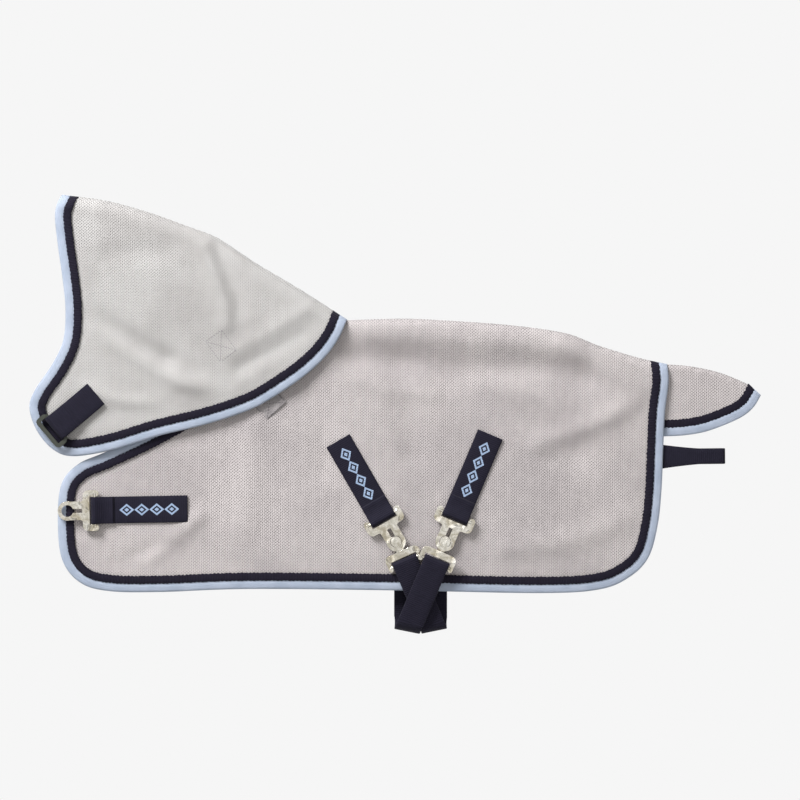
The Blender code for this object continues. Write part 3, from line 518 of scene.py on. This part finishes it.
def pad(name, node, centre, turn, side, level, body):
    """One 15 by 12 mm square of tape: a fine grid with a soft rolled edge and an uneven nap."""
    bpy.ops.mesh.primitive_grid_add(x_subdivisions=44, y_subdivisions=36, size=0.001)
    obj = bpy.context.object
    obj.name = name
    u = np.array([v.co[:] for v in obj.data.vertices])[:, :2] * 1000
    flat = u * (15.0, 12.0)
    rim = np.clip(np.minimum(7.5 - abs(flat[:, 0]), 6.0 - abs(flat[:, 1])) / 0.6, 0, 1)
    nap = 0.06 * np.sin(flat[:, 0] * 5.1 + np.sin(flat[:, 1] * 3.7)) * np.sin(flat[:, 1] * 4.3)
    height = level + 0.25 + 0.4 * np.sqrt(rim) + nap * rim
    c, s = math.cos(math.radians(turn)), math.sin(math.radians(turn))
    at = np.column_stack([centre[0] + flat @ (c, -s), centre[1] + flat @ (s, c), MIDDLE + side * height])
    at *= 0.001
    obj.data.vertices.foreach_set("co", at.ravel())
    if side < 0:
        obj.data.flip_normals()
    obj.data.shade_smooth()
    obj.data.materials.append(tape_pile.material)
    thick = obj.modifiers.new("thickness", "SOLIDIFY")
    thick.thickness = 0.00045
    thick.offset = -1
    apply_modifiers(obj)
    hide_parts(node)
    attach(obj, body)


def stitches(name, line, height, paint, pitch=1.7, gap=0.5, depth=0.14, body=None):
    """A run of machine stitches along a line, at the height that a function gives over each point."""
    line = curve_through(line, 0.2)
    travel = np.concatenate([[0], np.cumsum(np.linalg.norm(np.diff(line, axis=0), axis=1))])
    curve = bpy.data.curves.new(name, "CURVE")
    curve.dimensions = "3D"
    curve.bevel_depth = depth * 0.001
    curve.bevel_resolution = 1
    for start in np.arange(gap / 2, travel[-1] - pitch + gap, pitch):
        wanted = start + (pitch - gap) * np.array([0, 0.25, 0.75, 1])
        flat = np.column_stack([np.interp(wanted, travel, line[:, k]) for k in (0, 1)])
        z = height(flat) + np.array([-0.1, 0.06, 0.06, -0.1])
        spline = curve.splines.new("POLY")
        spline.points.add(3)
        for point, place, up in zip(spline.points, flat, z):
            point.co = (place[0] * 0.001, place[1] * 0.001, up * 0.001, 1)
    obj = bpy.data.objects.new(name, curve)
    bpy.context.scene.collection.objects.link(obj)
    bpy.ops.object.select_all(action="DESELECT")
    obj.select_set(True)
    bpy.context.view_layer.objects.active = obj
    bpy.ops.object.convert(target="MESH")
    obj = bpy.context.object
    obj.data.materials.clear()
    obj.data.materials.append(paint.material)
    if body:
        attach(obj, body)
    return obj


tape_pile = nap_paint("tape_pile")
UPPER_PAD, UPPER_TURN = (-97.7, 38.6), -54.0
BODY_LOWER_PAD, NECK_LOWER_PAD, LOWER_TURN = (-70.8, 6.5), (-75.6, 13.2), 43.0
for word, side in (("near", 1), ("off", -1)):
    pad(f"{word}_upper_loop", f"{word}_upper_loop_pad", UPPER_PAD, UPPER_TURN, side, 3.7, f"{word}_side")
    pad(f"{word}_lower_loop", f"{word}_lower_loop_pad", BODY_LOWER_PAD, LOWER_TURN, side, 3.7, f"{word}_side")
    pad(f"neck_{word}_upper_hook", f"neck_{word}_upper_hook_pad", UPPER_PAD, UPPER_TURN, side, 5.0,
        f"neck_{word}")
    pad(f"neck_{word}_lower_hook", f"neck_{word}_lower_hook_pad", NECK_LOWER_PAD, LOWER_TURN, side, 5.0,
        f"neck_{word}")


def sewn_box(centre, turn, length=14.0, width=11.0):
    """Lines of the seam round a square and across it both ways."""
    c, s = math.cos(math.radians(turn)), math.sin(math.radians(turn))
    corners = [(centre[0] + c * u * length / 2 - s * v * width / 2,
                centre[1] + s * u * length / 2 + c * v * width / 2)
               for u, v in ((1, 1), (-1, 1), (-1, -1), (1, -1))]
    sides = [[corners[n], corners[n - 1]] for n in range(4)]
    return sides + [[corners[0], corners[2]], [corners[1], corners[3]]]


grey_thread = Paint("grey_thread", Roughness=0.7, Specular_IOR_Level=0.2)
grey_thread.colour(grey_thread.mix(grey_thread.noise(0.002), rgb(108, 104, 110), rgb(140, 136, 142)))
dark_thread = Paint("dark_thread", Roughness=0.7, Specular_IOR_Level=0.2)
dark_thread.colour(dark_thread.mix(dark_thread.noise(0.002), rgb(60, 56, 62), rgb(96, 90, 96)))
for n, line in enumerate(sewn_box(UPPER_PAD, UPPER_TURN)):
    seam = stitches(f"neck_pad_seam_{n}", line,
                    lambda at: surface(at, 7.0, 1, NECK_FOLDS, neck_fold, neck_edge, 8.0),
                    grey_thread, depth=0.11)
    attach(seam, "neck_near")
for n, line in enumerate(sewn_box(BODY_LOWER_PAD, LOWER_TURN)):
    seam = stitches(f"body_pad_seam_{n}", line, lambda at: np.full(len(at), MIDDLE + 4.35), dark_thread,
                    depth=0.1)
    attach(seam, "near_side")


# Straps: flat navy polypropylene webbing. Two straps on the near side and the chest strap carry a woven
# pale blue row of lozenges in place of the lettering, and each is sewn back round the bar of its clip.
def webbing_paint(name, motif=None):
    """Ribbed navy webbing, read along its length. The motif is (start, end) of the woven row."""
    paint = Paint(name, uv=True, Roughness=0.78, Specular_IOR_Level=0.12, Sheen_Weight=0.04)
    ribs = (paint.x / 0.0011).wave() * 0.6 + ((paint.x / 0.0011) + (paint.y / 0.0009)).wave() * 0.4
    base = paint.mix(paint.noise(0.004, 3.0), rgb(29, 27, 41), rgb(38, 36, 51))
    base = paint.mix(ribs * 0.5, base, rgb(18, 17, 27))
    if motif:
        start, end = motif
        inside = paint.x.step(start, start + 0.0004) * (paint.x.step(end - 0.0004, end) * -1 + 1)
        across = paint.y.maths("ABSOLUTE") / 0.0034
        run = ((paint.x - start) / 0.0084 + 0.5).triangle() * 2
        shape = run + across
        line = shape.step(0.60, 0.66) * (shape.step(0.96, 1.02) * -1 + 1)
        heart = shape.step(0.30, 0.36) * -1 + 1
        woven = (line + heart).maths("MINIMUM", 1.0) * inside
        thread = paint.mix((paint.x / 0.0006).wave() * 0.5, rgb(168, 188, 216), rgb(128, 150, 188))
        base = paint.mix(woven * 0.9, base, thread)
    paint.colour(base)
    paint.bump(ribs + paint.noise(0.0008, 2.0) * 0.4, 0.00022)
    return paint


def webbing(name, stations, width, paint, thickness=0.9, ends=(True, True)):
    """Flat webbing through stations of (place, direction across it), with soft edges. Width may vary."""
    rail = curve_through(stations, 0.7)
    points, overs = rail[:, :3], rail[:, 3:]
    overs = overs / np.linalg.norm(overs, axis=1)[:, None]
    run = np.gradient(points, axis=0)
    run /= np.linalg.norm(run, axis=1)[:, None]
    ups = np.cross(overs, run)
    ups /= np.linalg.norm(ups, axis=1)[:, None]
    travel = np.concatenate([[0], np.cumsum(np.linalg.norm(np.diff(points, axis=0), axis=1))])
    half = np.array([width(t / travel[-1]) if callable(width) else width for t in travel])[:, None] / 2
    up = thickness / 2
    section = [(-1, 0.0, 0), (-1, 0.18, 0.75), (-1, 0.4, 1), (-0.5, 0, 1), (0, 0, 1), (0.5, 0, 1),
               (1, -0.4, 1), (1, -0.18, 0.75), (1, 0.0, 0), (1, -0.18, -0.75), (1, -0.4, -1), (0, 0, -1),
               (-1, 0.4, -1), (-1, 0.18, -0.75)]
    vertices, uv = [], []
    for share, shift, rise in section:
        vertices.append(points + overs * (half * share + shift) + ups * (up * rise))
        uv.append(np.column_stack([travel, (half * share + shift).ravel()]))
    count, size = len(points), len(section)
    faces = []
    for n in range(size):
        m = (n + 1) % size
        for k in range(count - 1):
            faces.append((n * count + k, m * count + k, m * count + k + 1, n * count + k + 1))
    if ends[0]:
        faces.append([n * count for n in range(size)][::-1])
    if ends[1]:
        faces.append([n * count + count - 1 for n in range(size)])
    return new_piece(name, np.vstack(vertices), faces, paint, np.vstack(uv))


def compass(degrees):
    return np.array((math.cos(math.radians(degrees)), math.sin(math.radians(degrees))))


def sewn_strap(start, bar, heading, length, side, level):
    """Stations of webbing that lies on the cloth, goes round a bar and is sewn back under itself."""
    along = compass(heading)
    over = np.array((math.sin(math.radians(heading)), -math.cos(math.radians(heading)), 0))
    low, high, centre = level + 0.45, level + 1.5, level + 2.3
    profile = [(2.3 - length, low + start), (-13.0, low + start), (-10.4, high), (-7.5, high),
               (-4.6, high + 0.5)]
    profile += [(1.85 * math.sin(math.radians(a)), centre + 1.85 * math.cos(math.radians(a)))
                for a in range(0, 181, 20)]
    profile += [(-4.6, low), (-7.5, low), (-10.2, low)]
    return [(*(np.array(bar) + along * s), MIDDLE + side * z, *over) for s, z in profile]


EYE_REACH, HOOK_REACH = 15.3, 12.5
plain_webbing = webbing_paint("plain_webbing")
label_webbing = webbing_paint("label_webbing", (0.0046, 0.0382))
chest_bar = np.array((-183.6, -53.6)) - compass(181.0) * EYE_REACH
front_bar = np.array((0.0, -70.7)) - compass(-60.0) * EYE_REACH
rear_bar = np.array((27.4, -70.7)) - compass(-113.0) * EYE_REACH
for name, node, bar, heading, length, side, body, paint in (
        ("chest_strap", "near_chest_strap", chest_bar, 181.0, 54.0, 1, "near_side", label_webbing),
        ("front_strap", "front_label_strap", front_bar, -60.0, 52.0, 1, "near_side", label_webbing),
        ("rear_strap", "rear_label_strap", rear_bar, -113.0, 52.0, 1, "near_side", label_webbing),
        ("chest_hook_strap", "off_chest_strap", chest_bar - compass(181.0) * 7.0, 181.0, 47.0, -1, "off_side",
         plain_webbing)):
    strap = webbing(name, sewn_strap(0.0, bar, heading, length, side, 3.7), 15.0, paint)
    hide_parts(node)
    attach(strap, body)

throat_end = np.array((-167.3, 11.9))
throat_bar = throat_end + compass(-139.7) * (31.0 - 2.3)
throat_strap = webbing("throat_strap", sewn_strap(0.0, throat_bar, -139.7, 31.0, 1, 8.7), 15.0, plain_webbing)
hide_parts("near_throat_strap")
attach(throat_strap, "neck_near")
over = (math.sin(math.radians(-139.7)), -math.cos(math.radians(-139.7)), 0)
throat_tail = webbing("throat_tail",
                      [(*(throat_end + compass(-139.7) * s), 0.46, *over) for s in (0, 10, 20, 31)],
                      15.0, plain_webbing)
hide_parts("off_throat_strap")
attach(throat_tail, "neck_off")


# Belly straps: each is sewn round the bar of its hook, runs down over the hem, turns under the sheet and
# is sewn to the off side. The front one crosses under the rear one, as its hook does.
LIFTS = {"front": 0.0, "rear": 3.7}
for word, hand in (("front", -1), ("rear", 1)):
    eye = np.array((13.7 + hand * 13.7, -70.7))
    turn = np.array((13.8 - hand * 8.9, -120.9))
    along = (turn - eye) / np.linalg.norm(turn - eye)
    bar = eye + along * HOOK_REACH
    turn[0] += hand * 1.3
    along = (turn - bar) / np.linalg.norm(turn - bar)
    lift = LIFTS[word]
    top = MIDDLE + 6.0 + lift + 1.85
    reach = float(np.linalg.norm(turn - bar))
    fall = 0.11 * along[1]
    under = MIDDLE - 4.7 - 0.3 - 0.45
    end = top + fall * reach
    radius = (end - under) / 2
    over = np.array((along[1], -along[0], 0.0))
    leg = []
    for a in range(-60, 91, 15):
        s, z = -1.85 * math.cos(math.radians(a)), top - 1.85 + 1.85 * math.sin(math.radians(a))
        leg.append((*(bar + along * s), z, *over))
    part = reach * 0.5
    for s in np.linspace(part / 4, part, 4):
        leg.append((*(bar + along * s), top + (end - top) * s / (reach - radius), *over))
    upper = webbing(f"{word}_belly_strap", leg, 14.6, plain_webbing, ends=(True, False))
    sloping = np.array((along[1], -along[0], 0.11 * -along[0]))
    back = [leg[-1], (*(bar + along * (part + reach - radius) / 2),
                      top + (end - top) * (part + reach - radius) / 2 / (reach - radius), *sloping),
            (*(bar + along * (reach - radius)), end, *sloping)]
    middle = along + np.array((0.0, -1.0))
    middle = middle / np.linalg.norm(middle)
    folds = np.linspace(75, -90, 10)
    for n, a in enumerate(folds):
        s = reach - radius + radius * math.cos(math.radians(a))
        z = under + radius + radius * math.sin(math.radians(a))
        place = bar + along * s
        place[0] += (turn[0] - place[0]) * (n + 1) / len(folds)
        back.append((*place, z, middle[1], -middle[0], 0.0))
    sewn = MIDDLE - 4.15
    for y, z in ((-112, under), (-101.0, under), (-94, under), (-86.5, under), (-82.5, sewn), (-70, sewn),
                 (-62.0, sewn)):
        back.append((turn[0], y, z, -1.0, 0.0, 0.0))
    lower = webbing(f"{word}_belly_turn", back, 14.6, plain_webbing, ends=(False, True))
    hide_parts(f"{word}_surcingle_strap")
    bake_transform(upper)
    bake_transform(lower)


# Tail strap: ribbed elastic, sewn full width between the two sides and drawn narrower where it folds
# back on itself behind the tail.
root, tip = np.array((145.6, -23.4)), np.array((184.6, -23.0))
along = (tip - root) / np.linalg.norm(tip - root)
over = (along[1], -along[0], 0)
profile = [(0, 1.55), (13, 1.55), (30, 1.5), (37.1, 1.2), (38.4, 0.5), (38.55, 0.0), (38.4, -0.5),
           (37.1, -1.2), (30, -1.5), (13, -1.55), (0, -1.55)]
tail_strap = webbing("tail_elastic", [(*(root + along * s), MIDDLE + z, *over) for s, z in profile],
                     lambda t: 8.8 + 5.6 * max(0.0, (abs(t - 0.5) * 2 - 0.36) / 0.64) ** 1.3, plain_webbing)
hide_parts("tail_strap")
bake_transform(tail_strap)


# Clips: pressed steel, nickel plated, with edges rolled soft by the press. The throat ring is moulded.
nickel = Paint("nickel", Metallic=1.0, Roughness=0.22)
scuffs = nickel.noise(0.0012, 2.0, (1.0, 3.0, 1.0))
nickel.colour(nickel.mix(nickel.noise(0.006, 2.0).step(0.3, 0.7), rgb(250, 247, 240), rgb(216, 208, 190)))
nickel.roughness(scuffs * 0.16 + 0.12)
nickel.bump(nickel.noise(0.006, 1.0) * 1.5 + scuffs * 0.04, 0.0012)
plastic = Paint("olive_black_plastic", Roughness=0.4)
grain = plastic.noise(0.0005, 2.0)
plastic.colour(plastic.mix(plastic.noise(0.005, 2.0), rgb(48, 51, 45), rgb(62, 65, 58)))
plastic.roughness(grain * 0.25 + 0.3)
plastic.bump(grain, 0.00006)


def soften(node, paint, width, segments=3):
    """Rounds the edges of a carried-over CAD node with modifiers and gives it the paint."""
    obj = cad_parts[node]
    obj.data.materials.clear()
    obj.data.materials.append(paint.material)
    weld = obj.modifiers.new("weld", "WELD")
    weld.merge_threshold = 0.00001
    bevel = obj.modifiers.new("edges", "BEVEL")
    bevel.width = width * 0.001
    bevel.segments = segments
    bevel.limit_method = "ANGLE"
    bevel.angle_limit = math.radians(32)
    bevel.miter_outer = "MITER_ARC"


for node in ("near_chest_eye", "off_chest_hook", "front_surcingle_eye", "front_surcingle_hook",
             "rear_surcingle_eye", "rear_surcingle_hook"):
    soften(node, nickel, 0.55, 4)
soften("throat_ring", plastic, 0.5)
